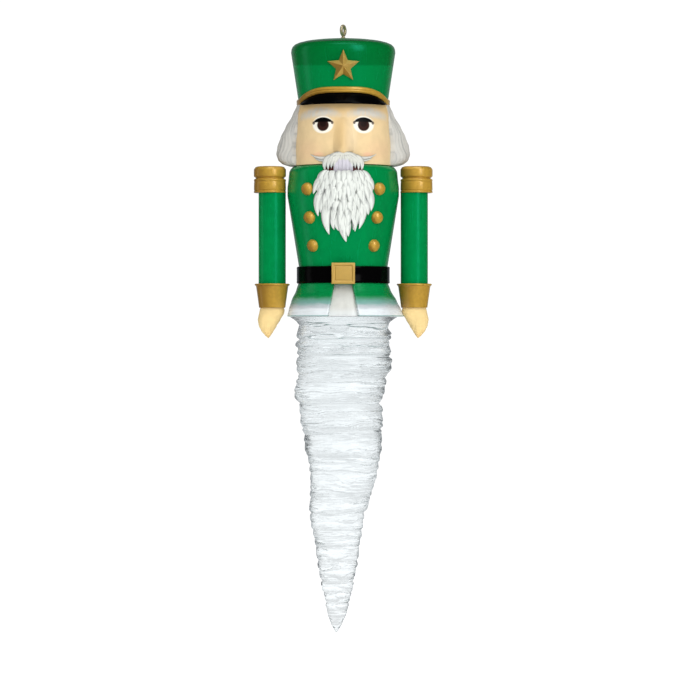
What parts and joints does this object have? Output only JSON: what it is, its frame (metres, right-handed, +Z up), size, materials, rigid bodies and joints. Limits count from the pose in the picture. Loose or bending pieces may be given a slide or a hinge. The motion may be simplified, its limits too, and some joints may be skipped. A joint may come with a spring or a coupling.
{
  "type": "nutcracker icicle ornament",
  "caption": "Hanging tree ornament: a painted toy-soldier nutcracker with a tall hat and beard, whose legs are a long, clear, ridged icicle tapering to a point.",
  "frame": {"origin": "the point at the top of the inside of the wire eye, where a hook or cord bears", "axes": "+Z up along the ornament, -Y the way the soldier faces, +X towards the soldier's left arm"},
  "size_m": [0.0472, 0.0343, 0.1604],
  "materials": {
    "eye_wire": "polished, slightly tarnished",
    "green_enamel": "gloss green paint on moulded plastic",
    "gold_paint": "satin gold paint",
    "black_enamel": "gloss black paint",
    "face_paint": "satin flesh paint with painted eyes, brows and cheeks",
    "hand_paint": "satin flesh paint",
    "silver_hair": "satin silver-grey paint over fine strands",
    "white_beard": "satin white paint over carved locks",
    "teeth_white": "gloss white paint",
    "pearl_paint": "pearl white paint",
    "coat_skirt_fade": "green paint fading to frosty silver at the hem",
    "clear_ice": "clear, polished"
  },
  "bodies": {
    "root": {"hanging_eye": "eye_wire", "hat_crown": "green_enamel", "hat_band": "gold_paint", "visor": "black_enamel", "hat_star": "gold_paint", "head": "face_paint", "nose": "face_paint", "hair": "silver_hair", "moustache": "white_beard", "coat_body": "green_enamel", "button_right_1": "gold_paint", "button_right_2": "gold_paint", "button_right_3": "gold_paint", "button_left_1": "gold_paint", "button_left_2": "gold_paint", "button_left_3": "gold_paint", "belt": "black_enamel", "buckle": "gold_paint", "jaw": "teeth_white", "beard": "white_beard", "trousers": "pearl_paint", "coat_skirt": "coat_skirt_fade", "epaulette_right": "gold_paint", "sleeve_right": "green_enamel", "cuff_right": "gold_paint", "hand_right": "hand_paint", "epaulette_left": "gold_paint", "sleeve_left": "green_enamel", "cuff_left": "gold_paint", "hand_left": "hand_paint", "icicle": "clear_ice"}
  },
  "joints": []
}
